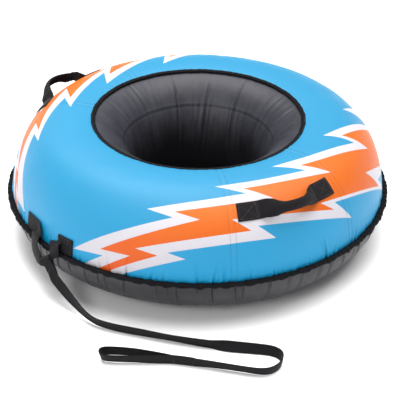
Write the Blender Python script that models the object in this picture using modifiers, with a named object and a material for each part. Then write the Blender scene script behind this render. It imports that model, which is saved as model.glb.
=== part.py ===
"""A towable tube for water sports: a rubber inner tube in a sewn fabric cover, with two webbing handles,
a tow loop and a tow strap that ends in a hand loop. Metres, +Z up. The origin is the middle of the flat
base, and -Y is the direction of tow. The cover and the handles are symmetric about the YZ plane; the tow
loop sits a little to its left."""

import math

import bmesh
import bpy
import numpy as np
from mathutils import Matrix, Vector

# The inflated ring: its section is two half superellipses that meet at the widest place
WIDEST_RADIUS = 0.544
RING_RADIUS = 0.360
HALF_WIDTH = WIDEST_RADIUS - RING_RADIUS
WIDEST_HEIGHT = 0.1154
CROWN_RISE = 0.2475
UPPER_POWER = 2.30
LOWER_POWER = 2.10

# The cover
RIM_RADIUS = 0.305
TOP_THICKNESS = 0.0010
BOTTOM_THICKNESS = 0.0012
SEAM_HEIGHT = 0.1385
FLANGE_RADIUS = 0.5553
TOUCH = 0.0003

# The inner tube stands off the cover by the room that the reinforcement strips take
TUBE_INSET = 0.0032
TUBE_BASE_INSET = BOTTOM_THICKNESS + TOUCH
TUBE_WALL = 0.0018

# Webbing
WEBBING_WIDTH = 0.050
STRAP_WIDTH = 0.030
STRAP_THICKNESS = 0.0025
TAB_THICKNESS = 0.0036
TAB_LIFT = 0.00045
STRIP_WIDTH = 0.025
STRIP_THICKNESS = 0.0010
STRIP_GAP = 0.0006
STRIP_TURNS = (-34.0, 7.3, 172.7, 214.0)

# Handles: turns are in degrees round Z from +X
HANDLE_RADIUS = 0.480
HANDLE_TURN = -14.0
HANDLE_HALF_SPAN = 18.0
HANDLE_TAB_SPAN = 7.2
GRIP_END_GAP = 0.1
GRIP_LIFT = 0.050
GRIP_END_LIFT = 0.008
GRIP_LEAN = math.radians(22.0)
GRIP_WIDTH = 0.027
GRIP_END_WIDTH = 0.012

# Tow loop
TOW_TAB_HEIGHT = 0.1685
TOW_TAB_TURNS = ((-105.5, -99.3), (-90.2, -83.4))
TOW_HINGE_RADIUS = 0.5515
TOW_HINGE_HEIGHT = 0.166
TOW_HINGE_TURNS = (-99.0, -90.4)
BUNCH_THICKNESS = 0.0085
EYE_CENTRE = Vector((-0.004, -0.578, 0.123))
EYE_AXIS = Vector((0.76, 0.35, 0.55)).normalized()
EYE_DOWN = Vector((0.59, 0.0, -0.80))
EYE_HOLE = 0.0082
EYE_STEM = 0.036

# The free strap's own route, from the eye down to the ground and round to the lap
STRAP_CENTRE_HEIGHT = STRAP_WIDTH / 2 + 0.0005
STRAP_ROUTE = (
    (0.0302, -0.5790, 0.0760),
    (0.0571, -0.5790, 0.0610),
    (0.0897, -0.5800, 0.0460),
    (0.1215, -0.5810, 0.0345),
    (0.1526, -0.5825, 0.0260),
    (0.1850, -0.5815, 0.0200),
    (0.2140, -0.5750, 0.0170),
    (0.2610, -0.5545, STRAP_CENTRE_HEIGHT),
    (0.3240, -0.5212, STRAP_CENTRE_HEIGHT),
    (0.3849, -0.4873, STRAP_CENTRE_HEIGHT),
    (0.4440, -0.4530, STRAP_CENTRE_HEIGHT),
    (0.5007, -0.4172, STRAP_CENTRE_HEIGHT),
    (0.5490, -0.3820, STRAP_CENTRE_HEIGHT),
    (0.5930, -0.3490, STRAP_CENTRE_HEIGHT),
    (0.6180, -0.3325, STRAP_CENTRE_HEIGHT),
    (0.6370, -0.3270, STRAP_CENTRE_HEIGHT),
    (0.6540, -0.3300, STRAP_CENTRE_HEIGHT),
    (0.6690, -0.3425, STRAP_CENTRE_HEIGHT),
    (0.6780, -0.3600, STRAP_CENTRE_HEIGHT),
    (0.6810, -0.3800, STRAP_CENTRE_HEIGHT),
    (0.6775, -0.3995, STRAP_CENTRE_HEIGHT),
    (0.6680, -0.4145, STRAP_CENTRE_HEIGHT),
    (0.6530, -0.4270, STRAP_CENTRE_HEIGHT),
    (0.6320, -0.4403, STRAP_CENTRE_HEIGHT),
    (0.5900, -0.4660, STRAP_CENTRE_HEIGHT),
    (0.5480, -0.4925, STRAP_CENTRE_HEIGHT),
    (0.5134, -0.5152, STRAP_CENTRE_HEIGHT),
)
LAP_START = Vector((0.5130, -0.5155, STRAP_CENTRE_HEIGHT))
LAP_DIRECTION = Vector((-0.823, -0.568, 0.0)).normalized()
LAP_LENGTH = 0.056
LAYER_OFFSET = 0.0016
HAND_LOOP_ROUTE = (
    (0.4455, -0.5688),
    (0.4225, -0.5925),
    (0.3960, -0.6195),
    (0.3670, -0.6490),
    (0.3490, -0.6650),
    (0.3345, -0.6735),
    (0.3205, -0.6720),
    (0.3125, -0.6600),
    (0.3170, -0.6450),
    (0.3380, -0.6240),
    (0.3740, -0.5965),
    (0.4120, -0.5735),
    (0.4430, -0.5570),
)

# Valve: lengths along its own axis, which points from the tube's wall to the middle of the hole
VALVE_HEIGHT = 0.1175
VALVE_ROOT_RADIUS = 0.1836
VALVE_OPENING_RADIUS = 0.0084

# Facets
COVER_STEPS = 72
TUBE_STEPS = 36
TOP_STATIONS = 10
BASE_STATIONS = 6
HOLE_STATIONS = 6
VALVE_STEPS = 20
MERGE = 0.0001


def clear_scene():
    for thing in list(bpy.data.objects):
        bpy.data.objects.remove(thing, do_unlink=True)


def new_collection(name):
    made = bpy.data.collections.new(name)
    bpy.context.scene.collection.children.link(made)
    return made


def new_material(name, colour, roughness, metallic=0.0):
    made = bpy.data.materials.new(name)
    made.use_nodes = True
    shader = made.node_tree.nodes["Principled BSDF"]
    shader.inputs["Base Color"].default_value = (*colour, 1.0)
    shader.inputs["Roughness"].default_value = roughness
    shader.inputs["Metallic"].default_value = metallic
    made.diffuse_color = (*colour, 1.0)
    return made


def add_part(name, data, material, where):
    part = bpy.data.objects.new(name, data)
    part.data.materials.append(material)
    where.objects.link(part)
    return part


# The ring's section


def section_point(angle, inset=0.0, base_inset=0.0):
    """Radius and height on the section. The angle is 0 at the widest place and 90 degrees at the crown."""
    across, up = math.cos(angle), math.sin(angle)
    power = UPPER_POWER if up >= 0 else LOWER_POWER
    rise = CROWN_RISE - inset if up >= 0 else WIDEST_HEIGHT - base_inset
    radius = RING_RADIUS + (HALF_WIDTH - inset) * math.copysign(abs(across) ** (2 / power), across)
    height = WIDEST_HEIGHT + rise * math.copysign(abs(up) ** (2 / power), up)
    return radius, height


def angle_at_radius(radius):
    """The angle on the upper half of the section at a radius from the axis."""
    across = (radius - RING_RADIUS) / HALF_WIDTH
    return math.acos(math.copysign(abs(across) ** (UPPER_POWER / 2), across))


def angle_at_height(height):
    """The angle on the upper outer side of the section at a height."""
    return math.asin(((height - WIDEST_HEIGHT) / CROWN_RISE) ** (UPPER_POWER / 2))


def spaced_angles(start, end, count):
    """Angles from start to end that cut the section into stretches of equal length."""
    fine = np.linspace(start, end, 400)
    points = np.array([section_point(angle) for angle in fine])
    lengths = np.concatenate([[0.0], np.cumsum(np.hypot(*np.diff(points, axis=0).T))])
    return list(np.interp(np.linspace(0.0, lengths[-1], count + 1), lengths, fine))


FINE_ANGLES = np.linspace(0.0, math.pi, 721)
FINE_POINTS = np.array([section_point(angle) for angle in FINE_ANGLES])
FINE_LENGTHS = np.concatenate([[0.0], np.cumsum(np.hypot(*np.diff(FINE_POINTS, axis=0).T))])


def length_at_angle(angle):
    """Distance along the section from the widest place up to an angle."""
    return float(np.interp(angle, FINE_ANGLES, FINE_LENGTHS))


def cover_frame(turn, length):
    """The point on the cover at a turn round Z in degrees and a distance up the section from the widest
    place, with the cover's outward normal and the direction down the section there."""
    radius, height = (float(np.interp(length, FINE_LENGTHS, FINE_POINTS[:, i])) for i in (0, 1))
    before, after = (
        np.array([np.interp(length + step, FINE_LENGTHS, FINE_POINTS[:, i]) for i in (0, 1)])
        for step in (-0.002, 0.002)
    )
    down_radius, down_height = (before - after) / np.hypot(*(before - after))
    outward = Vector((math.cos(math.radians(turn)), math.sin(math.radians(turn)), 0.0))
    point = outward * radius + Vector((0.0, 0.0, height))
    down = outward * down_radius + Vector((0.0, 0.0, down_height))
    normal = outward * -down_height + Vector((0.0, 0.0, down_radius))
    return point, normal, down


def polar(turn, radius, height):
    return Vector((radius * math.cos(math.radians(turn)), radius * math.sin(math.radians(turn)), height))


# Builders


def turned(name, profile, material, where, steps, closed=False):
    """A profile of radius and height turned about Z, with a facet's middle at +X."""
    mesh = bpy.data.meshes.new(name)
    edges = [(i, i + 1) for i in range(len(profile) - 1)]
    if closed:
        edges.append((len(profile) - 1, 0))
    mesh.from_pydata([(radius, 0.0, height) for radius, height in profile], edges, [])
    part = add_part(name, mesh, material, where)
    part.rotation_euler.z = math.pi / steps
    screw = part.modifiers.new("turn", "SCREW")
    screw.angle = math.tau
    screw.steps = screw.render_steps = steps
    screw.use_merge_vertices = True
    screw.merge_threshold = MERGE
    screw.use_smooth_shade = True
    return part


def thicken(part, thickness):
    """Gives an open or closed surface a wall on its inner side."""
    solidify = part.modifiers.new("wall", "SOLIDIFY")
    solidify.thickness = thickness
    solidify.offset = -1.0
    solidify.use_even_offset = True


def lofted(name, loops, material, where):
    """A closed solid through loops of points, which all have the same number of points."""
    mesh = bpy.data.meshes.new(name)
    shape = bmesh.new()
    rings = [[shape.verts.new(point) for point in loop] for loop in loops]
    for ring, following in zip(rings, rings[1:]):
        for i in range(len(ring)):
            j = (i + 1) % len(ring)
            shape.faces.new((ring[i], ring[j], following[j], following[i]))
    shape.faces.new(rings[0])
    shape.faces.new(rings[-1])
    bmesh.ops.triangulate(shape, faces=[face for face in shape.faces if len(face.verts) > 4])
    bmesh.ops.recalc_face_normals(shape, faces=shape.faces)
    shape.to_mesh(mesh)
    shape.free()
    return add_part(name, mesh, material, where)


def smooth_path(points, count):
    """Points at equal distances along a smooth curve through the given points."""
    given = np.array([tuple(point) for point in points])
    padded = np.vstack([2 * given[0] - given[1], given, 2 * given[-1] - given[-2]])
    fine = []
    for before, start, end, after in zip(padded, padded[1:], padded[2:], padded[3:]):
        for t in np.linspace(0.0, 1.0, 24, endpoint=False):
            fine.append(
                0.5
                * (
                    2 * start
                    + (end - before) * t
                    + (2 * before - 5 * start + 4 * end - after) * t**2
                    + (3 * start - 3 * end + after - before) * t**3
                )
            )
    fine = np.array([*fine, given[-1]])
    lengths = np.concatenate([[0.0], np.cumsum(np.linalg.norm(np.diff(fine, axis=0), axis=1))])
    even = np.linspace(0.0, lengths[-1], count)
    return [Vector([float(np.interp(s, lengths, fine[:, i])) for i in range(3)]) for s in even]


def place_origin(part, point):
    """Puts an object's origin at a point and leaves its shape where it is."""
    part.data.transform(Matrix.Translation(-point))
    part.location = point


def webbing_loop(centre, across, normal, width, thickness):
    """The outline of a flat strap's cross-section, three points wide on each face."""
    lower = [centre + across * (width * i / 2) - normal * (thickness / 2) for i in (-1, 0, 1)]
    upper = [point + normal * thickness for point in reversed(lower)]
    return lower + upper


def flat_outline(name, outlines, half_thickness, matrix, material, where):
    """A flat plate from closed outlines in its own XY plane; inner outlines are holes."""
    curve = bpy.data.curves.new(name, "CURVE")
    curve.dimensions = "2D"
    curve.fill_mode = "BOTH"
    curve.extrude = half_thickness
    for outline in outlines:
        spline = curve.splines.new("POLY")
        spline.points.add(len(outline) - 1)
        for point, (x, y) in zip(spline.points, outline):
            point.co = (x, y, 0.0, 1.0)
        spline.use_cyclic_u = True
    part = add_part(name, curve, material, where)
    part.matrix_world = matrix
    return part


# Cover and inner tube


def top_profile():
    angles = spaced_angles(angle_at_radius(RIM_RADIUS), angle_at_height(SEAM_HEIGHT), TOP_STATIONS)
    return [section_point(angle) for angle in angles], angles


def base_angles():
    return spaced_angles(0.0, -math.pi / 2, BASE_STATIONS)


def build_top_cover(material, where):
    profile, _ = top_profile()
    part = turned("top_cover", [*profile, (FLANGE_RADIUS, SEAM_HEIGHT)], material, where, COVER_STEPS)
    thicken(part, TOP_THICKNESS)


def build_bottom_cover(material, where):
    flange_height = SEAM_HEIGHT - TOP_THICKNESS - TOUCH - BOTTOM_THICKNESS
    wall_radius = section_point(angle_at_height(flange_height))[0]
    profile = [(FLANGE_RADIUS, flange_height), (wall_radius, flange_height)]
    profile += [section_point(angle) for angle in base_angles()]
    profile += [(RING_RADIUS / 2, 0.0), (0.0, 0.0)]
    part = turned("bottom_cover", profile, material, where, COVER_STEPS)
    thicken(part, BOTTOM_THICKNESS)


def build_inner_tube(material, where, cutters):
    _, top = top_profile()
    below_valve, above_valve = -math.pi + math.radians(6.5), math.pi - math.radians(2.6)
    hole = spaced_angles(-math.pi / 2, below_valve, HOLE_STATIONS // 2)[1:]
    throat = spaced_angles(above_valve, top[0], HOLE_STATIONS)[:-1]
    angles = [*top, *base_angles(), *hole, math.pi, *throat]
    profile = [section_point(angle, TUBE_INSET, TUBE_BASE_INSET) for angle in angles]
    part = turned("inner_tube", profile, material, where, TUBE_STEPS, closed=True)
    thicken(part, TUBE_WALL)
    cutter_mesh = bpy.data.meshes.new("valve_opening")
    shape = bmesh.new()
    bmesh.ops.create_cone(
        shape,
        cap_ends=True,
        segments=VALVE_STEPS,
        radius1=VALVE_OPENING_RADIUS,
        radius2=VALVE_OPENING_RADIUS,
        depth=0.03,
    )
    shape.to_mesh(cutter_mesh)
    shape.free()
    cutter = bpy.data.objects.new("valve_opening", cutter_mesh)
    cutters.objects.link(cutter)
    cutter.matrix_world = valve_matrix()
    cutter.hide_render = True
    cutter.display_type = "WIRE"
    opening = part.modifiers.new("valve_opening", "BOOLEAN")
    opening.operation = "DIFFERENCE"
    opening.object = cutter


def build_seam_band(material, where):
    """A tape folded over both flanges, with a short skirt that hangs in front of the bottom cover."""
    inner, slot, outer = 0.5465, FLANGE_RADIUS + TOUCH, 0.5590
    above = SEAM_HEIGHT + TOUCH
    below = SEAM_HEIGHT - TOP_THICKNESS - TOUCH - BOTTOM_THICKNESS - TOUCH
    profile = [
        (inner, above + 0.0013),
        (outer, above + 0.0013),
        (outer, 0.1340),
        (0.5554, 0.1205),
        (0.5532, 0.1205),
        (0.5535, 0.1335),
        (inner, below - 0.0012),
        (inner, below),
        (slot, below),
        (slot, above),
        (inner, above),
    ]
    turned("seam_band", profile, material, where, COVER_STEPS, closed=True)


def build_rim_binding(material, where):
    """A padded tape folded over the cover's free edge round the hole."""
    profile, _ = top_profile()
    edge, following = (np.array(point) for point in profile[:2])
    outward = (following - edge) / np.hypot(*(following - edge))
    normal = np.array([-outward[1], outward[0]])
    across_and_up = (
        (-0.0070, 0.0024),
        (-0.0040, 0.0032),
        (0.0010, 0.0031),
        (0.0068, 0.0018),
        (0.0068, TOUCH),
        (-TOUCH, TOUCH),
        (-TOUCH, -TOP_THICKNESS - TOUCH),
        (0.0068, -TOP_THICKNESS - TOUCH),
        (0.0068, -0.0026),
        (-0.0020, -0.0029),
        (-0.0062, -0.0022),
        (-0.0082, 0.0002),
    )
    outline = [tuple(edge + outward * across + normal * up) for across, up in across_and_up]
    turned("rim_binding", outline, material, where, COVER_STEPS, closed=True)


def inset_line(points, distance):
    """A line of points moved to its inner side by a distance, keeping its stretches parallel."""
    line = np.array(points)
    steps = np.diff(line, axis=0)
    normals = np.array([(dy, -dx) / np.hypot(dx, dy) for dx, dy in steps])
    moved = []
    for i, point in enumerate(line):
        before, after = normals[max(i - 1, 0)], normals[min(i, len(normals) - 1)]
        between = (before + after) / np.linalg.norm(before + after)
        moved.append(point + between * distance / float(between @ after))
    return moved


def build_reinforcement_strips(material, where):
    """Radial webbing strips between the top cover and the inner tube."""
    profile, _ = top_profile()
    line = [np.array(point) for point in profile]
    line[0] = line[0] + (line[1] - line[0]) * 0.35
    line[-1] = line[-1] + (line[-2] - line[-1]) * 0.30
    flat = math.cos(math.pi / COVER_STEPS)
    outer = inset_line(line, TOP_THICKNESS + STRIP_GAP)
    inner = inset_line(line, TOP_THICKNESS + STRIP_GAP + STRIP_THICKNESS)
    for number, turn in enumerate(STRIP_TURNS, 1):
        outward = polar(turn, 1.0, 0.0)
        along = polar(turn + 90.0, STRIP_WIDTH / 2, 0.0)
        loops = []
        for outside, inside in zip(outer, inner):
            over = outward * (outside[0] * flat) + Vector((0.0, 0.0, outside[1]))
            under = outward * (inside[0] * flat) + Vector((0.0, 0.0, inside[1]))
            loops.append([over - along, over + along, under + along, under - along])
        lofted(f"reinforcement_strip_{number}", loops, material, where)


# Handles


def build_tab(name, turns, middle_length, material, where):
    """A sewn end of webbing that lies on the cover between two turns."""
    offsets = np.linspace(-WEBBING_WIDTH / 2, WEBBING_WIDTH / 2, 5)
    loops = []
    for turn in np.linspace(*turns, 4):
        frames = [cover_frame(turn, middle_length + offset) for offset in offsets]
        under = [point + normal * TAB_LIFT for point, normal, _ in frames]
        over = [point + normal * (TAB_LIFT + TAB_THICKNESS) for point, normal, _ in frames]
        loops.append(under + over[::-1])
    lofted(name, loops, material, where)


def grip_path(turns, length, count):
    """Points along an arch of webbing, each with the direction in which it stands off the cover."""
    for share in np.linspace(0.0, 1.0, count):
        rise = math.sin(math.pi * share)
        point, normal, down = cover_frame(turns[0] + (turns[1] - turns[0]) * share, length)
        lean = GRIP_LEAN * min(1.0, 1.6 * rise)
        stand = normal * math.cos(lean) + down * math.sin(lean)
        yield point + stand * (GRIP_END_LIFT + (GRIP_LIFT - GRIP_END_LIFT) * rise**0.9), stand, rise


def build_grip(name, turns, length, material, where):
    """The free part of a handle: webbing folded lengthwise in the hand, gathered where it is hinged."""
    arch = list(grip_path(turns, length, 15))
    loops = []
    for i, (centre, stand, rise) in enumerate(arch):
        along = (arch[min(i + 1, len(arch) - 1)][0] - arch[max(i - 1, 0)][0]).normalized()
        across = along.cross(stand).normalized()
        normal = across.cross(along).normalized()
        grown = min(1.0, rise * 2.2)
        width = GRIP_END_WIDTH + (GRIP_WIDTH - GRIP_END_WIDTH) * grown
        loops.append(webbing_loop(centre, across, normal, width, 0.0050))
    part = lofted(name, loops, material, where)
    place_origin(part, (arch[0][0] + arch[-1][0]) / 2)


def build_handles(material, where):
    length = length_at_angle(angle_at_radius(HANDLE_RADIUS))
    first, last = HANDLE_TURN - HANDLE_HALF_SPAN, HANDLE_TURN + HANDLE_HALF_SPAN
    spans = {
        "front_tab": (first, first + HANDLE_TAB_SPAN),
        "grip": (first + HANDLE_TAB_SPAN + GRIP_END_GAP, last - HANDLE_TAB_SPAN - GRIP_END_GAP),
        "rear_tab": (last - HANDLE_TAB_SPAN, last),
    }
    for side in ("right", "left"):
        for piece, turns in spans.items():
            if side == "left":
                turns = tuple(180.0 - turn for turn in turns)
            build = build_grip if piece == "grip" else build_tab
            build(f"{side}_handle_{piece}", turns, length, material, where)


# Tow loop and strap


def build_tow_loop(webbing, strap, where):
    length = length_at_angle(angle_at_height(TOW_TAB_HEIGHT))
    for side, turns in zip(("left", "right"), TOW_TAB_TURNS):
        build_tab(f"tow_loop_{side}_tab", turns, length, webbing, where)
    hinges = [polar(turn, TOW_HINGE_RADIUS, TOW_HINGE_HEIGHT) for turn in TOW_HINGE_TURNS]
    reach = EYE_AXIS * 0.020
    route = [
        hinges[0],
        polar(-98.3, 0.5620, 0.1510),
        polar(-96.2, 0.5780, 0.1300),
        EYE_CENTRE - reach * 1.3,
        EYE_CENTRE - reach,
        EYE_CENTRE - reach * 0.5,
        EYE_CENTRE,
        EYE_CENTRE + reach * 0.5,
        EYE_CENTRE + reach,
        polar(-88.9, 0.5667, 0.1480),
        hinges[1],
    ]
    path = smooth_path(route, 29)
    loops = []
    for i, centre in enumerate(path):
        along = (path[min(i + 1, len(path) - 1)] - path[max(i - 1, 0)]).normalized()
        outward = Vector((centre.x, centre.y, 0.0)).normalized()
        across = along.cross(outward).normalized()
        normal = across.cross(along).normalized()
        bunched = max(0.0, 1.0 - max(0.0, (centre - EYE_CENTRE).length - 0.023) / 0.012)
        ends = min(1.0, 4.0 * min(i, len(path) - 1 - i) / (len(path) - 1))
        width = 0.010 + (0.022 - 0.010) * ends * (1.0 - bunched)
        thickness = 0.0045 + (BUNCH_THICKNESS - 0.0045) * bunched
        loops.append(webbing_loop(centre, across, normal, width, thickness))
    part = lofted("tow_loop", loops, webbing, where)
    place_origin(part, (hinges[0] + hinges[1]) / 2)
    build_strap_eye(strap, where)


def build_strap_eye(material, where):
    """The strap's near end, sewn back on itself round the tow loop."""
    along = (EYE_AXIS - EYE_DOWN * EYE_AXIS.dot(EYE_DOWN)).normalized()
    side = (-EYE_DOWN).cross(along).normalized()
    matrix = Matrix((side, -EYE_DOWN, along)).transposed().to_4x4()
    matrix.translation = EYE_CENTRE
    half_stem = STRAP_THICKNESS + 0.0002
    arc = np.radians(np.linspace(-50.0, 230.0, 13))
    outer_radius = EYE_HOLE + STRAP_THICKNESS
    outer = [(outer_radius * math.cos(a), outer_radius * math.sin(a)) for a in arc]
    outer += [(-half_stem, -0.020), (-half_stem, -EYE_STEM), (half_stem, -EYE_STEM), (half_stem, -0.020)]
    inner = [(EYE_HOLE * math.cos(a), EYE_HOLE * math.sin(a)) for a in arc] + [(0.0, -0.0150)]
    flat_outline("strap_eye", [outer, inner], STRAP_WIDTH / 2, matrix, material, where)


def tube_along(name, path, radius, material, where):
    curve = bpy.data.curves.new(name, "CURVE")
    curve.dimensions = "3D"
    curve.bevel_depth = radius
    curve.bevel_resolution = 2
    curve.use_fill_caps = True
    spline = curve.splines.new("POLY")
    spline.points.add(len(path) - 1)
    for point, place in zip(spline.points, path):
        point.co = (*place, 1.0)
    return add_part(name, curve, material, where)


def build_strap(material, where):
    start = EYE_CENTRE + EYE_DOWN.normalized() * (EYE_STEM + 0.0006)
    path = smooth_path([start, *STRAP_ROUTE], 48)
    path[1] = start + EYE_DOWN.normalized() * (path[1] - start).length
    path[-2] = path[-1] - LAP_DIRECTION * (path[-1] - path[-2]).length
    tube_along("tow_strap", path, STRAP_WIDTH / 2, material, where)
    side = LAP_DIRECTION.cross(Vector((0.0, 0.0, 1.0)))
    ends = (LAP_START + LAP_DIRECTION * 0.0004, LAP_START + LAP_DIRECTION * LAP_LENGTH)
    up = Vector((0.0, 0.0, 1.0))
    lap = [webbing_loop(end, up, side, STRAP_WIDTH, 2 * STRAP_THICKNESS + 0.0007) for end in ends]
    lofted("strap_lap", lap, material, where)
    near, far = (ends[1] + LAP_DIRECTION * TOUCH + side * offset for offset in (LAYER_OFFSET, -LAYER_OFFSET))
    if (Vector((*HAND_LOOP_ROUTE[0], near.z)) - near).length > (Vector((*HAND_LOOP_ROUTE[0], far.z)) - far).length:
        near, far = far, near
    route = [near, *(Vector((x, y, STRAP_CENTRE_HEIGHT)) for x, y in HAND_LOOP_ROUTE), far]
    loop = smooth_path(route, 36)
    loops = []
    for i, centre in enumerate(loop):
        along = (loop[min(i + 1, len(loop) - 1)] - loop[max(i - 1, 0)]).normalized()
        loops.append(webbing_loop(centre, up, along.cross(up), STRAP_WIDTH, STRAP_THICKNESS))
    lofted("hand_loop", loops, material, where)


# Valve


def valve_matrix():
    """Places a shape whose own Z runs from the inner tube's wall to the middle of the hole."""
    place = Matrix.Translation((0.0, -VALVE_ROOT_RADIUS, VALVE_HEIGHT))
    return place @ Matrix.Rotation(-math.pi / 2, 4, "X")


def valve_part(name, profile, material, where):
    part = turned(name, profile, material, where, VALVE_STEPS, closed=True)
    part.matrix_world = valve_matrix()
    return part


def build_valve(rubber, brass, cap, steel, where):
    valve_part(
        "valve_base",
        [(0.0042, 0.032), (0.0062, 0.032), (0.0080, 0.024), (0.0080, 0.002), (0.013, 0.002), (0.013, 0.0), (0.0042, 0.0)],
        rubber,
        where,
    )
    valve_part(
        "valve_stem",
        [(0.0030, 0.044), (0.0039, 0.044), (0.0039, -0.0003), (0.0065, -0.0003), (0.0065, -0.0015), (0.0030, -0.0015)],
        brass,
        where,
    )
    valve_part(
        "valve_core",
        [
            (0.0012, 0.0420),
            (0.0027, 0.0420),
            (0.0027, 0.0280),
            (0.0012, 0.0280),
            (0.0012, 0.0290),
            (0.0020, 0.0290),
            (0.0020, 0.0410),
            (0.0012, 0.0410),
        ],
        brass,
        where,
    )
    valve_part(
        "valve_pin",
        [(0.0, 0.0435), (0.0009, 0.0435), (0.0009, 0.0274), (0.0022, 0.0274), (0.0022, 0.0262), (0.0, 0.0262)],
        brass,
        where,
    ).modifiers["turn"].use_merge_vertices = True
    valve_part(
        "valve_cap",
        [(0.0, 0.0470), (0.0052, 0.0470), (0.0058, 0.0460), (0.0058, 0.0340), (0.0042, 0.0340), (0.0042, 0.0452), (0.0, 0.0452)],
        cap,
        where,
    )
    build_pin_spring(steel, where)


def build_pin_spring(material, where):
    """A light coil round the pin, inside the core."""
    turns, points_per_turn, radius = 5, 8, 0.00145
    low, high = 0.0298, 0.0402
    count = turns * points_per_turn + 1
    path = []
    for i in range(count):
        angle = math.tau * i / points_per_turn
        path.append((radius * math.cos(angle), radius * math.sin(angle), low + (high - low) * i / (count - 1)))
    part = tube_along("valve_spring", path, 0.00022, material, where)
    part.matrix_world = valve_matrix()


def main():
    clear_scene()
    parts = new_collection("towable_tube")
    cutters = new_collection("cutters")
    nylon = new_material("cover_nylon", (0.09, 0.42, 0.78), 0.55)
    vinyl = new_material("base_vinyl", (0.08, 0.08, 0.085), 0.45)
    webbing = new_material("webbing", (0.025, 0.023, 0.026), 0.8)
    binding = new_material("binding_tape", (0.02, 0.02, 0.022), 0.75)
    rubber = new_material("black_rubber", (0.035, 0.033, 0.033), 0.6)
    brass = new_material("brass", (0.75, 0.55, 0.25), 0.3, 1.0)
    steel = new_material("spring_steel", (0.55, 0.55, 0.57), 0.3, 1.0)
    plastic = new_material("cap_plastic", (0.02, 0.02, 0.02), 0.4)
    build_inner_tube(rubber, parts, cutters)
    build_valve(rubber, brass, plastic, steel, parts)
    build_top_cover(nylon, parts)
    build_bottom_cover(vinyl, parts)
    build_reinforcement_strips(webbing, parts)
    build_seam_band(binding, parts)
    build_rim_binding(binding, parts)
    build_handles(webbing, parts)
    build_tow_loop(webbing, webbing, parts)
    build_strap(webbing, parts)


main()
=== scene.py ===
"""The looks of a towable tube: a printed nylon cover over a rubber inner tube, webbing handles, a tow loop
and a tow strap. Metres, +Z up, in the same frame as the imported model. Turns are round Z from +X."""

import math
import random

import bmesh
import bpy
import numpy as np
from mathutils import Matrix, Vector, kdtree
from mathutils.geometry import delaunay_2d_cdt


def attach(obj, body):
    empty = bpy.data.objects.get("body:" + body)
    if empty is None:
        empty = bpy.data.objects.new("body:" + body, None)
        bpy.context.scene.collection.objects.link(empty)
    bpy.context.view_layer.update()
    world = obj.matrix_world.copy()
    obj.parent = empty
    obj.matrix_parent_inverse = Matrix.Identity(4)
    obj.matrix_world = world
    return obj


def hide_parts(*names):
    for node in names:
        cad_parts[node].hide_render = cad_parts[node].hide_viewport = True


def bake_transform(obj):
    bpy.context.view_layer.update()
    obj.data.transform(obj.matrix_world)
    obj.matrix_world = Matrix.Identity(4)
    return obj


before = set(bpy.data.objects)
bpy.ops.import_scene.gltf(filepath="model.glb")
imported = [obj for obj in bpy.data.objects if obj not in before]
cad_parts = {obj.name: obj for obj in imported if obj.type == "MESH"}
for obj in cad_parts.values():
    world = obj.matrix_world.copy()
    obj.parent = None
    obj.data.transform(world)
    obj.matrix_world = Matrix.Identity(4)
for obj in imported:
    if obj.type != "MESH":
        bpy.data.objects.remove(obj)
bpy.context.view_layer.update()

# The ring's section, as in the CAD
WIDEST_RADIUS = 0.544
RING_RADIUS = 0.360
HALF_WIDTH = WIDEST_RADIUS - RING_RADIUS
WIDEST_HEIGHT = 0.1154
CROWN_RISE = 0.2475
UPPER_POWER = 2.30
LOWER_POWER = 2.10
RIM_RADIUS = 0.305
SEAM_HEIGHT = 0.1385
TUBE_INSET = 0.0032
STRIP_TURNS = (-34.0, 7.3, 172.7, 214.0)

# Only here: half the distance between a strip's two rows of stitches, the step that slopes are taken over,
# and the radius at which the cloth of a ring has its true scale
STITCH_HALF = 0.0082
SLOPE_STEP = 0.0015
UV_RADIUS = 0.54

# Handles and tow loop, as in the CAD
HANDLE_RADIUS = 0.480
HANDLE_TURN = -14.0
HANDLE_HALF_SPAN = 18.0
HANDLE_TAB_SPAN = 7.2
WEBBING_WIDTH = 0.050
TOW_TAB_HEIGHT = 0.1685
TOW_TAB_TURNS = ((-105.5, -99.3), (-90.2, -83.4))
EYE_CENTRE = Vector((-0.004, -0.578, 0.123))
EYE_AXIS = Vector((0.76, 0.35, 0.55)).normalized()
EYE_DOWN = Vector((0.59, 0.0, -0.80)).normalized()
EYE_STEM = 0.036

# Only here: the webbing's thickness, how far its middle lies off the cover where it is sewn down, and how
# many degrees its stitches keep from its ends
WEBBING_THICKNESS = 0.0017
TAB_LIFT = 0.0024
TAB_STITCH_INSET = 0.6876

# How far each grip stands up from the cover, and how many degrees it leans out
GRIP_RISE = 0.048
GRIP_LEANS = {"right": 22.0, "left": 25.0}

# Stitching: the distance between stitches, a stitch's length in the two bindings, its length, width and
# height in the strips, and the lines of a box with a cross in it, from corner to corner
STITCH_PITCH = 0.0042
BINDING_STITCH = 0.0034
STRIP_STITCH = (0.0038, 0.0011, 0.0005)
BOX_LINES = ((0, 1), (1, 2), (2, 3), (3, 0), (0, 2), (1, 3))

# Creases and the mould line on the rubber in the hole
CREASE_TURNS = (
    8.0, 33.0, 58.0, 77.0, 105.8, 130.0, 152.5, 179.0, 204.0, 225.0, 249.0, 273.0, 298.0, 322.0, 345.0,
)
MOULD_LINE = 0.2865

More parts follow.
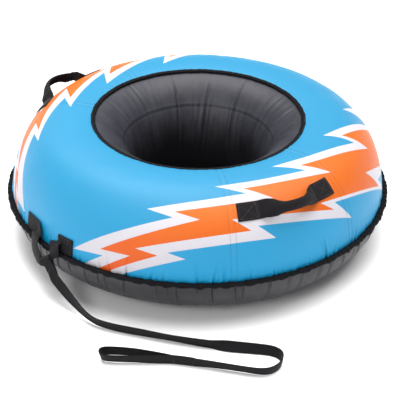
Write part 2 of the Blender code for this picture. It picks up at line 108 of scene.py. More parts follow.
# The tow strap's centreline: down from the eye's stem, then over the ground to the far end of its hand loop,
# and back from there to the lap. On the ground it stands on its edge, at one height.
STRAP_WIDTH = 0.030
STRAP_THICKNESS = 0.0025
STRAP_HEIGHT = 0.0158
STRAP_DROP = (
    (0.0300, -0.5790, 0.0760), (0.0571, -0.5790, 0.0610), (0.0897, -0.5800, 0.0460),
    (0.1215, -0.5810, 0.0345), (0.1526, -0.5825, 0.0260), (0.1850, -0.5815, 0.0200),
    (0.2140, -0.5750, 0.0170),
)
STRAP_GROUND = (
    (0.2610, -0.5545), (0.3240, -0.5212), (0.3849, -0.4873), (0.4440, -0.4530), (0.5007, -0.4172),
    (0.5490, -0.3820), (0.5930, -0.3490), (0.6180, -0.3325), (0.6370, -0.3270), (0.6540, -0.3300),
    (0.6690, -0.3425), (0.6780, -0.3600), (0.6810, -0.3800), (0.6775, -0.3995), (0.6680, -0.4145),
    (0.6530, -0.4270), (0.6320, -0.4403), (0.5900, -0.4660), (0.5480, -0.4925), (0.5157, -0.5145),
    (0.4870, -0.5325), (0.4655, -0.5500), (0.4440, -0.5712), (0.4222, -0.5945), (0.3973, -0.6185),
    (0.3670, -0.6490), (0.3490, -0.6650), (0.3345, -0.6735), (0.3215, -0.6725),
)
RETURN_GROUND = (
    (0.3215, -0.6725), (0.3135, -0.6615), (0.3170, -0.6450), (0.3380, -0.6240), (0.3740, -0.5965),
    (0.4120, -0.5735), (0.4435, -0.5560), (0.4640, -0.5455), (0.4855, -0.5300), (0.5140, -0.5120),
)
LAP_ENDS = (Vector((0.5157, -0.5145, 0.0)), Vector((0.4670, -0.5488, 0.0)))

# Print: corners as (turn, distance along the cover), on the right. PRINT_RADIUS is where the distance along
# the cover and the distance from the axis agree.
PRINT_RADIUS = 0.311
PRINT_CONE = 0.72
BOLT_UPPER = (
    (-85.5, 0.735), (-79.8, 0.691), (-72.8, 0.642), (-83.3, 0.654), (-52.4, 0.503), (-61.1, 0.488),
    (-27.5, 0.440), (-38.1, 0.405), (-0.4, 0.422), (-10.4, 0.360), (31.5, 0.463), (27.1, 0.373),
    (55.6, 0.544), (54.3, 0.430), (74.6, 0.697), (76.5, 0.735),
)
BOLT_LOWER = (
    (-64.5, 0.735), (-67.3, 0.687), (-47.9, 0.614), (-53.3, 0.599), (-20.9, 0.576), (-26.0, 0.535),
    (8.6, 0.610), (2.9, 0.541), (40.0, 0.680), (32.2, 0.601), (57.5, 0.700), (58.5, 0.735),
)
FLAME_UPPER = (
    (-76.8, 0.735), (-74.8, 0.691), (-64.3, 0.623), (-73.8, 0.625), (-43.9, 0.506), (-52.0, 0.487),
    (-18.6, 0.469), (-27.7, 0.422), (8.3, 0.465), (0.0, 0.400), (35.8, 0.513), (31.6, 0.421),
    (58.0, 0.592), (56.5, 0.500), (70.3, 0.700), (71.5, 0.735),
)
FLAME_LOWER = (
    (-69.0, 0.735), (-69.9, 0.678), (-56.0, 0.610), (-62.8, 0.599), (-28.3, 0.545), (-33.9, 0.509),
    (1.7, 0.559), (-2.7, 0.525), (31.3, 0.619), (24.1, 0.538), (50.5, 0.660), (47.0, 0.610),
    (64.0, 0.700), (65.0, 0.735),
)

# The cover's mesh: the step along the print's edges, the least distances of other points from those edges and
# from the points beside the strips, and the thicknesses of the cover and the base
EDGE_STEP = 0.004
EDGE_CLEARANCE = 0.0019
STRIP_CLEARANCE = 0.0022
COVER_WALL = 0.0008
BASE_WALL = 0.0012

# The left side is the mirror image moved by (turn on the mirrored side, change of turn, change of distance)
LEFT_SHIFTS = np.array(
    [
        (153.0, 0.3, -0.018), (180.0, 1.1, -0.023), (190.0, -1.0, -0.021), (207.5, 1.8, -0.029),
        (218.0, 0.4, -0.029), (232.4, -1.2, -0.019), (241.0, -3.1, -0.013), (252.8, -11.0, 0.012),
        (263.0, -12.4, -0.001),
    ]
)

# Colours, under a light that washes the floor out; the low colours are painted light on the nylon's lower
# sides
BLUE = (0.017, 0.214, 0.384)
PAINTED_LOW_BLUE = (0.000, 0.282, 0.545)
ORANGE = (0.560, 0.112, 0.001)
PAINTED_LOW_ORANGE = (0.590, 0.064, 0.001)
WHITE = (0.520, 0.500, 0.540)


# The ring's surface


def section(angle, inset=0.0, base_inset=0.0):
    """Radii and heights on the section for an array of angles from the widest place, up being positive."""
    angle = np.asarray(angle, float)
    across, up = np.cos(angle), np.sin(angle)
    power = np.where(up >= 0, UPPER_POWER, LOWER_POWER)
    rise = np.where(up >= 0, CROWN_RISE - inset, WIDEST_HEIGHT - base_inset)
    radius = RING_RADIUS + (HALF_WIDTH - inset) * np.sign(across) * np.abs(across) ** (2 / power)
    height = WIDEST_HEIGHT + rise * np.sign(up) * np.abs(up) ** (2 / power)
    return radius, height


TABLE_ANGLES = np.linspace(-math.pi / 2, math.pi, 2881)
TABLE_RADII, TABLE_HEIGHTS = section(TABLE_ANGLES)
TABLE_STEPS = np.hypot(np.diff(TABLE_RADII), np.diff(TABLE_HEIGHTS))
TABLE_LENGTHS = np.concatenate([[0.0], np.cumsum(TABLE_STEPS)])
TABLE_LENGTHS -= np.interp(0.0, TABLE_ANGLES, TABLE_LENGTHS)


def length_at_angle(angle):
    return float(np.interp(angle, TABLE_ANGLES, TABLE_LENGTHS))


def angle_at_radius(radius):
    across = (radius - RING_RADIUS) / HALF_WIDTH
    return math.acos(math.copysign(abs(across) ** (UPPER_POWER / 2), across))


def angle_at_height(height):
    return math.asin(((height - WIDEST_HEIGHT) / CROWN_RISE) ** (UPPER_POWER / 2))


RIM_LENGTH = length_at_angle(angle_at_radius(RIM_RADIUS))
PRINT_LENGTH = length_at_angle(angle_at_radius(PRINT_RADIUS)) + PRINT_RADIUS
BAND_LENGTH = length_at_angle(angle_at_height(SEAM_HEIGHT))
HANDLE_LENGTH = length_at_angle(angle_at_radius(HANDLE_RADIUS))
TOW_LENGTH = length_at_angle(angle_at_height(TOW_TAB_HEIGHT))


def on_section(lengths):
    """Radii and heights at lengths up the section from the widest place."""
    return np.interp(lengths, TABLE_LENGTHS, TABLE_RADII), np.interp(lengths, TABLE_LENGTHS, TABLE_HEIGHTS)


def on_ring(turns, lengths, lift=0.0):
    """Points and outward normals at turns and at lengths up the section, lifted off the ring."""
    turns, lengths = np.radians(np.asarray(turns, float)), np.asarray(lengths, float)
    radius, height = on_section(lengths)
    below, above = on_section(lengths - SLOPE_STEP), on_section(lengths + SLOPE_STEP)
    fall_r, fall_z = below[0] - above[0], below[1] - above[1]
    size = np.hypot(fall_r, fall_z)
    normal_r, normal_z = -fall_z / size, fall_r / size
    cos, sin = np.cos(turns), np.sin(turns)
    reach = radius + lift * normal_r
    points = np.stack([reach * cos, reach * sin, height + lift * normal_z], -1)
    normals = np.stack([normal_r * cos, normal_r * sin, normal_z + 0 * cos], -1)
    return points, normals


def radial(turn):
    """The level direction away from the axis."""
    angle = math.radians(turn)
    return np.array([math.cos(angle), math.sin(angle), 0.0])


def away_from(turns, centre):
    """Turns counted from a centre, between -180 and 180."""
    return (turns - centre + 180.0) % 360.0 - 180.0


def bell(x):
    """A smooth bump, 1 high in its middle and almost gone at 2."""
    return np.exp(-(x**2))


def smooth_step(value, low, high):
    t = np.clip((value - low) / (high - low), 0.0, 1.0)
    return t * t * (3 - 2 * t)


def gather(turns, low, high, seed, count=16):
    """A repeatable run of irregular ripples round the ring, from about -1 to 1."""
    chance = random.Random(seed)
    turns = np.radians(np.asarray(turns, float))
    total = np.zeros_like(turns)
    for _ in range(count):
        wave = chance.randint(low, high) * turns + chance.uniform(0, math.tau)
        total += math.sqrt(2 / count) * np.sin(wave)
    return np.tanh(total * 0.9)


def folds(seed, count, depth, length, width):
    """Single folds round the ring as rows of (turn, depth, length, slant, width)."""
    chance = random.Random(seed)
    rows = []
    for k in range(count):
        turn = (k + chance.uniform(-0.38, 0.38)) * 360.0 / count
        sizes = chance.uniform(*depth), chance.uniform(*length), chance.uniform(-1, 1), chance.uniform(*width)
        rows.append((turn, *sizes))
    return np.array(rows)


COVER_FOLDS = folds(71, 62, (0.0011, 0.0048), (0.018, 0.062), (0.26, 0.46))
BASE_FOLDS = folds(72, 80, (0.0010, 0.0036), (0.035, 0.120), (0.17, 0.24))


def cover_relief(turns, lengths):
    """How far the cover's cloth stands off the smooth ring: gathers at its edges and pulled-in seams."""
    turns, lengths = np.asarray(turns, float), np.asarray(lengths, float)
    from_band = np.maximum(lengths - BAND_LENGTH, 0.0)
    from_rim = np.maximum(RIM_LENGTH - lengths, 0.0)
    relief = 0.00100 * gather(turns, 105, 190, 11) * np.exp(-from_band / 0.010)
    relief += 0.00055 * gather(turns, 40, 95, 12) * np.exp(-from_band / 0.030)
    relief += 0.00045 * gather(turns, 55, 120, 13) * np.exp(-from_rim / 0.010)
    drift = 2.0 * np.sin(np.radians(turns) * 3)
    relief += 0.00035 * gather(turns, 9, 24, 14) * np.sin(lengths * 24.0 + drift)
    relief -= 0.0016 * np.exp(-from_band / 0.006)
    for turn, depth, reach, slant, width in COVER_FOLDS:
        away = away_from(turns, turn + slant * from_band * 26.0)
        fade = bell(from_band / reach)
        relief -= depth * fade * bell(away / width)
        relief += 0.60 * depth * fade * bell((np.abs(away) - 1.9 * width) / (1.1 * width))
    radius = on_section(lengths)[0]
    for centre in STRIP_TURNS:
        across = np.radians(away_from(turns, centre)) * radius
        relief -= 0.00070 * bell((np.abs(across) - STITCH_HALF) / 0.0016)
        relief += 0.00015 * np.exp(-((across / 0.0065) ** 4))
    return relief


# Meshes


def new_object(name, data, *materials):
    for material in materials:
        data.materials.append(material)
    made = bpy.data.objects.new(name, data)
    bpy.context.scene.collection.objects.link(made)
    return made


def smooth_outwards(mesh):
    """Turns the faces of a mesh outwards and shades them smooth."""
    shape = bmesh.new()
    shape.from_mesh(mesh)
    bmesh.ops.recalc_face_normals(shape, faces=shape.faces)
    shape.to_mesh(mesh)
    shape.free()
    mesh.shade_smooth()


def add_uv(mesh, uv):
    layer = mesh.uv_layers.new(name="UVMap")
    corner = np.array([loop.vertex_index for loop in mesh.loops])
    layer.data.foreach_set("uv", uv[corner].astype(np.float32).ravel())


def grid_mesh(name, points, uv, closed_u, closed_v, caps=False):
    """A mesh from a rows x columns x 3 array; u runs along the rows and v along the columns."""
    rows, columns = points.shape[:2]
    index = np.arange(rows * columns).reshape(rows, columns)
    right = np.roll(index, -1, 1) if closed_v else index[:, 1:]
    left = index if closed_v else index[:, :-1]
    below_left = np.roll(left, -1, 0) if closed_u else left[1:]
    below_right = np.roll(right, -1, 0) if closed_u else right[1:]
    top_left = left if closed_u else left[:-1]
    top_right = right if closed_u else right[:-1]
    faces = np.stack([top_left, top_right, below_right, below_left], -1).reshape(-1, 4).tolist()
    if caps:
        faces += [index[0][::-1].tolist(), index[-1].tolist()]
    mesh = bpy.data.meshes.new(name)
    mesh.from_pydata(points.reshape(-1, 3).tolist(), [], faces)
    smooth_outwards(mesh)
    add_uv(mesh, uv.reshape(-1, 2))
    return mesh


def ring_mesh(name, profile_at, count, closed):
    """A mesh turned round Z in equal steps; profile_at gives radii and heights for a column of turns."""
    turns = np.arange(count)[:, None] * 360.0 / count
    angle = np.radians(turns)
    radius, height = (values + 0 * angle for values in profile_at(turns))
    points = np.stack([radius * np.cos(angle), radius * np.sin(angle), height], -1)
    along = np.concatenate([0 * angle, np.cumsum(np.hypot(np.diff(radius), np.diff(height)), 1)], 1)
    uv = np.stack([angle * UV_RADIUS + 0 * along, along], -1)
    return grid_mesh(name, points, uv, True, closed)


def add_wall(piece, thickness):
    solidify = piece.modifiers.new("wall", "SOLIDIFY")
    solidify.thickness = thickness
    solidify.offset = -1.0


def run_along(points):
    """The distance along a line of points, at each of them."""
    return np.concatenate([[0.0], np.cumsum(np.linalg.norm(np.diff(points, axis=0), axis=1))])


def strap_mesh(name, rows, thickness):
    """A closed strap through rows of (points across, normals), with a point along each of its edges."""
    outlines = []
    for points, normals in rows:
        upper, lower = points + normals * thickness / 2, points - normals * thickness / 2
        tip = thickness * 0.35
        first, last = unit(points[0] - points[1]), unit(points[-1] - points[-2])
        outlines.append([*upper, points[-1] + last * tip, *lower[::-1], points[0] + first * tip])
    outlines = np.array(outlines)
    along = run_along(outlines[:, outlines.shape[1] // 4])
    uv = np.stack(np.broadcast_arrays(run_along(outlines[0])[None, :], along[:, None]), -1)
    return grid_mesh(name, outlines, uv, False, True, caps=True)


def smooth_path(points, spacing):
    """Evenly spaced points on a smooth curve through the given ones."""
    given = np.array([tuple(point) for point in points])
    padded = np.vstack([2 * given[0] - given[1], given, 2 * given[-1] - given[-2]])
    fine = []
    for before, start, end, after in zip(padded, padded[1:], padded[2:], padded[3:]):
        slope = end - before
        bend = 2 * before - 5 * start + 4 * end - after
        twist = 3 * start - 3 * end + after - before
        for t in np.linspace(0.0, 1.0, 24, endpoint=False):
            fine.append(0.5 * (2 * start + slope * t + bend * t**2 + twist * t**3))
    fine = np.array([*fine, given[-1]])
    lengths = run_along(fine)
    even = np.linspace(0.0, lengths[-1], max(2, round(lengths[-1] / spacing)) + 1)
    return np.stack([np.interp(even, lengths, fine[:, i]) for i in range(3)], -1)


def unit(vectors):
    return vectors / np.linalg.norm(vectors, axis=-1, keepdims=True)


def square_to(vector, tangent):
    """The part of a vector that is square to a tangent, as a direction."""
    return unit(vector - tangent * (vector @ tangent))


def curled(centre, across, normal, width, curl, flat=1.0, count=11):
    """Points across a strap that is bent round its own length by an angle, with their normals."""
    u = np.linspace(-0.5, 0.5, count) * curl
    radius = width / curl
    x = radius * np.sin(u)
    y = radius * (np.cos(u) - math.cos(curl * 0.25)) * flat
    nx, ny = np.sin(u) * flat, np.cos(u)
    size = np.hypot(nx, ny)
    points = centre + x[:, None] * across + y[:, None] * normal
    normals = (nx / size)[:, None] * across + (ny / size)[:, None] * normal
    return points, normals


# Materials


class Nodes:
    """Short ways to build a material's nodes."""

    def __init__(self, name, colour, roughness, **inputs):
        self.material = bpy.data.materials.new(name)
        self.material.use_nodes = True
        self.tree = self.material.node_tree
        self.shader = self.tree.nodes["Principled BSDF"]
        self.shader.inputs["Base Color"].default_value = (*colour, 1.0)
        self.shader.inputs["Roughness"].default_value = roughness
        for key, value in inputs.items():
            self.shader.inputs[key.replace("_", " ")].default_value = value
        self.material.diffuse_color = (*colour, 1.0)
        self.height = None

    def add(self, kind, inputs, **settings):
        """A node with its settings; each input is a plain value or another node's output."""
        node = self.tree.nodes.new(kind)
        for key, value in settings.items():
            setattr(node, key, value)
        for key, value in inputs.items():
            if isinstance(value, bpy.types.NodeSocket):
                self.tree.links.new(value, node.inputs[key])
            else:
                node.inputs[key].default_value = value
        return node

    def math(self, operation, first, second):
        return self.add("ShaderNodeMath", {0: first, 1: second}, operation=operation).outputs[0]

    def mix(self, first, share, second, other_share):
        parts = self.math("MULTIPLY", first, share), self.math("MULTIPLY", second, other_share)
        return self.math("ADD", *parts)

    def coordinates(self, source="Object", scale=(1.0, 1.0, 1.0)):
        place = self.add("ShaderNodeTexCoord", {}).outputs[source]
        return self.add("ShaderNodeMapping", {"Vector": place, "Scale": scale}).outputs[0]

    def noise(self, vector, scale, detail=4.0, roughness=0.55):
        inputs = {"Vector": vector, "Scale": scale, "Detail": detail, "Roughness": roughness}
        return self.add("ShaderNodeTexNoise", inputs).outputs["Fac"]

    def waves(self, vector, scale, direction, distortion=0.0):
        inputs = {"Vector": vector, "Scale": scale, "Distortion": distortion}
        return self.add("ShaderNodeTexWave", inputs, bands_direction=direction).outputs["Fac"]

    def plain_weave(self, scale):
        weave = self.coordinates("UV")
        return self.math("MULTIPLY", self.waves(weave, scale, "X"), self.waves(weave, scale, "Y"))

    def remap(self, value, low, high, to_low=0.0, to_high=1.0, kind="LINEAR"):
        inputs = {"Value": value, "From Min": low, "From Max": high, "To Min": to_low, "To Max": to_high}
        return self.add("ShaderNodeMapRange", inputs, interpolation_type=kind).outputs["Result"]

    def level(self, place, *limits):
        """A value that changes with the height above the ground."""
        return self.remap(self.add("ShaderNodeSeparateXYZ", {0: place}).outputs["Z"], *limits)

    def colour(self, value, *stops):
        """Colours the shader by a value, through stops of (position, colour)."""
        node = self.add("ShaderNodeValToRGB", {"Fac": value})
        elements = node.color_ramp.elements
        for element, (position, colour) in zip((elements[0], elements[1]), (stops[0], stops[-1])):
            element.position = position
            element.color = (*colour, 1.0)
        for position, colour in stops[1:-1]:
            elements.new(position).color = (*colour, 1.0)
        self.tree.links.new(node.outputs["Color"], self.shader.inputs["Base Color"])

    def roughness(self, value, low, high):
        self.tree.links.new(self.remap(value, 0.0, 1.0, low, high), self.shader.inputs["Roughness"])

    def bump(self, value, distance, strength):
        inputs = {"Height": value, "Distance": distance, "Strength": strength}
        if self.height is not None:
            inputs["Normal"] = self.height
        self.height = self.add("ShaderNodeBump", inputs).outputs["Normal"]
        self.tree.links.new(self.height, self.shader.inputs["Normal"])


def shade(colour, factor, extra=0.0):
    """A lighter or darker colour."""
    return tuple(min(1.0, value * factor + extra) for value in colour)


def nylon(name, colour, painted_low_colour):
    """Coated woven nylon: a fine plain weave and slightly uneven dye, with painted light and shade by height.
    """
    made = Nodes(name, colour, 0.42, Specular_IOR_Level=0.34)
    place = made.coordinates()
    mottled = made.noise(place, 5.0, 6.0)
    # Painted light and shade: the height mixes the low colour into the lower sides, with the uneven dye over
    # it
    dye_and_painted_light = made.mix(made.level(place, 0.12, 0.33), 0.8, mottled, 0.25)
    made.colour(dye_and_painted_light, (0.08, painted_low_colour), (0.95, colour))
    made.roughness(mottled, 0.36, 0.50)
    made.bump(made.plain_weave(340.0), 0.00022, 0.7)
    made.bump(made.noise(place, 46.0, 5.0, 0.6), 0.0011, 0.35)
    made.bump(made.noise(place, 260.0, 3.0), 0.0003, 0.35)
    return made.material


def webbing_material(name, colour):
    """Woven polyester webbing: ribs across the strap and a finer thread along it."""
    made = Nodes(name, colour, 0.75, Specular_IOR_Level=0.15, Sheen_Weight=0.03, Sheen_Roughness=0.45)
    weave = made.coordinates("UV")
    both = made.mix(made.waves(weave, 210.0, "Y"), 0.65, made.waves(weave, 420.0, "X", 1.5), 0.35)
    fuzz = made.noise(made.coordinates(), 90.0, 6.0)
    made.colour(made.mix(both, 0.6, fuzz, 0.4), (0.25, shade(colour, 0.55)), (0.8, shade(colour, 2.6, 0.002)))
    made.roughness(fuzz, 0.62, 0.85)
    made.bump(both, 0.0004, 0.9)
    made.bump(fuzz, 0.0004, 0.4)
    return made.material


def tape_material(name, colour):
    """Binding tape: a dull plain weave."""
    made = Nodes(name, colour, 0.7, Specular_IOR_Level=0.10)
    cloudy = made.noise(made.coordinates(), 30.0, 5.0)
    made.colour(cloudy, (0.2, shade(colour, 0.6)), (0.85, shade(colour, 2.2)))
    made.roughness(cloudy, 0.55, 0.8)
    made.bump(made.plain_weave(260.0), 0.0003, 0.8)
    made.bump(cloudy, 0.0015, 0.5)
    return made.material


def vinyl_material(name, colour, dark, light):
    """Coated fabric, slick and slightly creased."""
    made = Nodes(name, colour, 0.42, Specular_IOR_Level=0.4)
    place = made.coordinates()
    cloudy = made.noise(place, 9.0, 6.0)
    fine = made.noise(place, 75.0, 6.0, 0.6)
    made.colour(cloudy, (0.25, dark), (0.8, light))
    made.roughness(made.mix(cloudy, 0.6, fine, 0.4), 0.30, 0.58)
    made.bump(made.noise(made.coordinates(scale=(1.0, 1.0, 0.35)), 38.0, 6.0), 0.0016, 0.35)
    made.bump(fine, 0.0008, 0.35)
    return made.material


def rubber_material(name, base, dust):
    """Moulded butyl rubber with a bloom of dust in soft smudges, lighter towards the top, with painted shade
    darkening it towards the bottom of the hole.
    """
    made = Nodes(name, base, 0.5, Specular_IOR_Level=0.35)
    place = made.coordinates()
    smudge = made.noise(place, 7.0, 8.0, 0.62)
    streak = made.noise(made.coordinates(scale=(1.0, 1.0, 0.30)), 26.0, 6.0, 0.6)
    both = made.mix(smudge, 0.6, streak, 0.4)
    # Dust and painted shade: lighter up the hole's wall, darker towards its bottom
    dust_and_painted_shade = made.math("ADD", both, made.level(place, 0.14, 0.30, -0.26, 0.12, "SMOOTHSTEP"))
    made.colour(dust_and_painted_shade, (0.26, base), (0.47, shade(dust, 0.45)), (0.74, dust))
    made.roughness(both, 0.36, 0.62)
    made.bump(made.noise(place, 160.0, 5.0), 0.0005, 0.4)
    made.bump(streak, 0.0018, 0.35)
    return made.material


def thread_material(name, colour):
    made = Nodes(name, colour, 0.6, Sheen_Weight=0.3)
    twist = made.noise(made.coordinates(), 900.0, 2.0)
    made.colour(twist, (0.3, shade(colour, 0.7)), (0.7, shade(colour, 1.3)))
    made.bump(twist, 0.0002, 0.6)
    return made.material


def hard_material(name, colour, roughness, metallic):
    made = Nodes(name, colour, roughness, Metallic=metallic)
    grain = made.noise(made.coordinates(), 350.0)
    made.colour(grain, (0.25, shade(colour, 0.8)), (0.8, shade(colour, 1.15)))
    made.roughness(grain, roughness * 0.8, roughness * 1.25)
    made.bump(grain, 0.0001, 0.4)
    return made.material


# Camera, light and floor


def build_camera():
    """A long lens from the front right, about 31 degrees above the floor."""
    distance, rise, pitch, yaw, roll = 9.05343, 31.50020, 30.72581, -0.19540, 0.60291
    shift_right, unit_size, bearing = 0.040245, WIDEST_RADIUS, 45.0
    rise, pitch, yaw, roll = (math.radians(value) for value in (rise, pitch, yaw, roll))
    place = Vector((shift_right, -distance * math.cos(rise), distance * math.sin(rise))) * unit_size
    ahead = Vector((math.sin(yaw) * math.cos(pitch), math.cos(yaw) * math.cos(pitch), -math.sin(pitch)))
    level_right = ahead.cross(Vector((0, 0, 1))).normalized()
    level_up = level_right.cross(ahead)
    right = level_right * math.cos(roll) + level_up * math.sin(roll)
    up = level_up * math.cos(roll) - level_right * math.sin(roll)
    pose = Matrix((right, up, -ahead)).transposed().to_4x4()
    pose.translation = place
    camera = bpy.data.objects.new("camera", bpy.data.cameras.new("camera"))
    camera.data.sensor_width = 36.0
    camera.data.lens = 147.486
    camera.data.clip_end = 60.0
    camera.matrix_world = Matrix.Rotation(math.radians(bearing), 4, "Z") @ pose
    bpy.context.scene.collection.objects.link(camera)
    bpy.context.scene.camera = camera


def add_light(name, kind, power, direction, place=(0.0, 0.0, 0.0)):
    light = bpy.data.lights.new(name, kind)
    light.energy = power
    made = bpy.data.objects.new(name, light)
    made.location = place
    made.rotation_mode = "QUATERNION"
    made.rotation_quaternion = Vector(direction).to_track_quat("-Z", "Y")
    bpy.context.scene.collection.objects.link(made)
    return light


def build_studio():
    """A pale floor under a wide overhead light, with two soft lights that show the folds."""
    world = bpy.data.worlds.new("studio")
    world.use_nodes = True
    background = world.node_tree.nodes["Background"]
    background.inputs["Color"].default_value = (0.97, 0.98, 1.0, 1.0)
    background.inputs["Strength"].default_value = 0.42
    bpy.context.scene.world = world
    bpy.context.scene.view_settings.view_transform = "Standard"
    reach = 30.0
    floor_mesh = bpy.data.meshes.new("floor")
    corners = [(-reach, -reach, 0.0), (reach, -reach, 0.0), (reach, reach, 0.0), (-reach, reach, 0.0)]
    floor_mesh.from_pydata(corners, [], [(0, 1, 2, 3)])
    floor = new_object("floor", floor_mesh, Nodes("floor", (0.90, 0.90, 0.90), 0.9).material)
    floor.location.z = -0.0004
    add_light("overhead", "SUN", 4.3, (-0.06, -0.20, -1.0)).angle = math.radians(52.0)
    for name, place, target, size, power in (
        ("front", (1.2, -4.6, 3.0), (0.0, -0.2, 0.2), 2.2, 105.0),
        ("left", (-2.0, -0.3, 3.7), (-0.1, -0.3, 0.3), 1.5, 90.0),
    ):
        light = add_light(name, "AREA", power, Vector(target) - Vector(place), place)
        light.shape = "DISK"
        light.size = size


# Pieces


def on_ground(places):
    return [(x, y, STRAP_HEIGHT) for x, y in places]


def strap_leans(path, along):
    """How far the strap leans over at each point: one way on the way out, the other on the way back."""
    lean = np.radians(18.0 - 35.0 * smooth_step(path[:, 0] + 0.4 * path[:, 1], 0.31, 0.37))
    lean[np.argmax(path[:, 0]) :] = np.radians(-17.0)
    return lean + np.radians(7.0) * np.sin(along * 19.0) * smooth_step(along, 0.3, 0.45)


def standing(tangent, lean):
    """The direction across a strap that stands on its edge and leans over."""
    right = unit(np.cross(tangent, (0.0, 0.0, 1.0)))
    return np.cross(right, tangent) * math.cos(lean) + right * math.sin(lean)


def build_strap(webbing, thread):
    """The tow strap as flat webbing, with its lap, its hand loop and the stitching that holds them."""
    start = EYE_CENTRE + EYE_DOWN * EYE_STEM * 0.55
    bottom = EYE_CENTRE + EYE_DOWN * (EYE_STEM + 0.004)
    path = smooth_path([start, bottom, *STRAP_DROP, *on_ground(STRAP_GROUND)], 0.006)
    tangents = unit(np.gradient(path, axis=0))
    along = run_along(path)
    rows = []
    for place, tangent, lean, run in zip(path, tangents, strap_leans(path, along), along):
        share = float(smooth_step(run, 0.03, 0.24))
        across = square_to(unit(np.array(EYE_AXIS) * (1 - share) + standing(tangent, lean) * share), tangent)
        cup = 0.30 * abs(math.sin(run * 9.0)) + 0.05
        rows.append(curled(place, across, np.cross(across, tangent), STRAP_WIDTH, cup, 1.0, 7))
    strap = new_object("tow_strap_webbing", strap_mesh("tow_strap_webbing", rows, STRAP_THICKNESS), webbing)
    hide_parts("tow_strap")
    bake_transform(strap)
    loop = build_hand_loop(across, webbing)
    stitches = build_lap_stitches(thread)


def build_hand_loop(first_across, webbing):
    """The strap's way back from the far end of the hand loop to the lap."""
    lean = math.radians(13.0)
    back = smooth_path(on_ground(RETURN_GROUND), 0.005)
    rows = []
    for i, (place, tangent) in enumerate(zip(back, unit(np.gradient(back, axis=0)))):
        right = unit(np.cross(tangent, (0.0, 0.0, 1.0)))
        upright = np.array([0.0, 0.0, 1.0]) * math.cos(lean) + right * math.sin(lean)
        share = float(smooth_step(i / len(back), 0.0, 0.30))
        across = square_to(unit(first_across * (1 - share) + upright * share), tangent)
        rows.append(curled(place, across, np.cross(across, tangent), STRAP_WIDTH, 0.15, 1.0, 7))
    loop = new_object("hand_loop_webbing", strap_mesh("hand_loop_webbing", rows, STRAP_THICKNESS), webbing)
    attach(loop, "tube")
    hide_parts("hand_loop")
    return loop


def stitch_mesh(name, runs, length=0.0032, width=0.0007, height=0.0005):
    """Short rounded stitches: each is (place, direction, normal)."""
    points, faces = [], []
    for place, direction, normal in runs:
        direction, normal = unit(np.asarray(direction, float)), unit(np.asarray(normal, float))
        side = np.cross(direction, normal)
        base = len(points)
        for share, tall in ((-0.5, 0.0), (-0.25, 1.0), (0.25, 1.0), (0.5, 0.0)):
            middle = np.asarray(place) + direction * share * length
            spread, sunk = side * width / 2 * (0.35 + 0.65 * tall), normal * height * 0.6
            crown = normal * height * (0.1 + 0.5 * tall)
            points += [middle - spread - sunk, middle + spread - sunk, middle + crown]
        for step in range(3):
            a, b = base + 3 * step, base + 3 * step + 3
            faces += [(a, a + 1, b + 1, b), (a + 1, a + 2, b + 2, b + 1), (a + 2, a, b, b + 2)]
        faces += [(base, base + 2, base + 1), (base + 9, base + 10, base + 11)]
    mesh = bpy.data.meshes.new(name)
    mesh.from_pydata([tuple(point) for point in points], [], faces)
    smooth_outwards(mesh)
    return mesh


def add_stitches(name, runs, thread, body, slot, *sizes):
    """Stitches as one piece that moves with a body."""
    made = new_object(name, stitch_mesh(name, runs, *sizes), thread)
    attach(made, body)
    return made


def line_stitches(start, end, normal):
    count = max(1, int(np.linalg.norm(end - start) / STITCH_PITCH))
    for i in range(count):
        yield start + (end - start) * (i + 0.5) / count, end - start, normal


def box_stitches(corners, normal):
    """The stitches of a box with a cross in it."""
    for first, second in BOX_LINES:
        yield from line_stitches(corners[first], corners[second], normal)


def build_lap_stitches(thread):
    """A boxed cross of stitches through both layers, on both sides of the lap."""
    near, far = (np.array(point) for point in LAP_ENDS)
    direction = unit(far - near)
    normal = np.cross((0.0, 0.0, 1.0), direction)
    a, b = near + direction * 0.004, far - direction * 0.004
    low, high = (0, 0, 0.0045), (0, 0, 0.0255)
    runs = []
    for face, offset in ((normal, 0.0016), (-normal, 0.0044)):
        lift = face * offset
        runs += box_stitches([a + lift + low, b + lift + low, b + lift + high, a + lift + high], face)
    made = add_stitches("lap_stitches", runs, thread, "tube", "webbing")
    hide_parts("strap_lap")
    return made


def bolt_line(corners, mirror):
    """One edge of the print in the cover's flat plane, from corners given as (turn, distance)."""
    turns, reach = np.array(corners).T
    if mirror:
        turns = 180.0 - turns
        turn_shift, reach_shift = (np.interp(turns, LEFT_SHIFTS[:, 0], LEFT_SHIFTS[:, i]) for i in (1, 2))
        turns, reach = turns + turn_shift, reach + np.where(reach < 0.73, reach_shift, 0.0)
    bent = np.radians(turns) * PRINT_CONE
    cone = np.stack([reach * np.cos(bent), reach * np.sin(bent)], -1)
    line = []
    for start, end in zip(cone, cone[1:]):
        pieces = max(1, round(float(np.linalg.norm(end - start)) / EDGE_STEP))
        line += [start + (end - start) * k / pieces for k in range(pieces)]
    line = np.array([*line, cone[-1]])
    angle, far = np.arctan2(line[:, 1], line[:, 0]), np.hypot(*line.T)
    if mirror:
        angle = np.where(angle < 0, angle + math.tau, angle)
    angle = angle / PRINT_CONE
    return np.stack([far * np.cos(angle), far * np.sin(angle)], -1)


def inside(points, polygon):
    """Which of the points lie in a closed polygon."""
    x, y = points.T
    result = np.zeros(len(points), bool)
    for (x1, y1), (x2, y2) in zip(polygon, np.roll(polygon, -1, 0)):
        crosses = (y1 > y) != (y2 > y)
        with np.errstate(divide="ignore", invalid="ignore"):
            at = (x2 - x1) * (y - y1) / (y2 - y1) + x1
        result ^= crosses & (x < at)
    return result


def point_tree(points):
    tree = kdtree.KDTree(len(points))
    for i, (x, y) in enumerate(points):
        tree.insert((x, y, 0.0), i)
    tree.balance()
    return tree


def clear_of(tree, distance, points):
    """The points that keep at least a distance from every point in a tree."""
    return [point for point in points if tree.find((*point, 0.0))[2] >= distance]


def flat_ring(reach, count, shift=0.0):
    angle = np.radians((np.arange(count) + shift) * 360.0 / count)
    return np.stack([reach * np.cos(angle), reach * np.sin(angle)], -1)


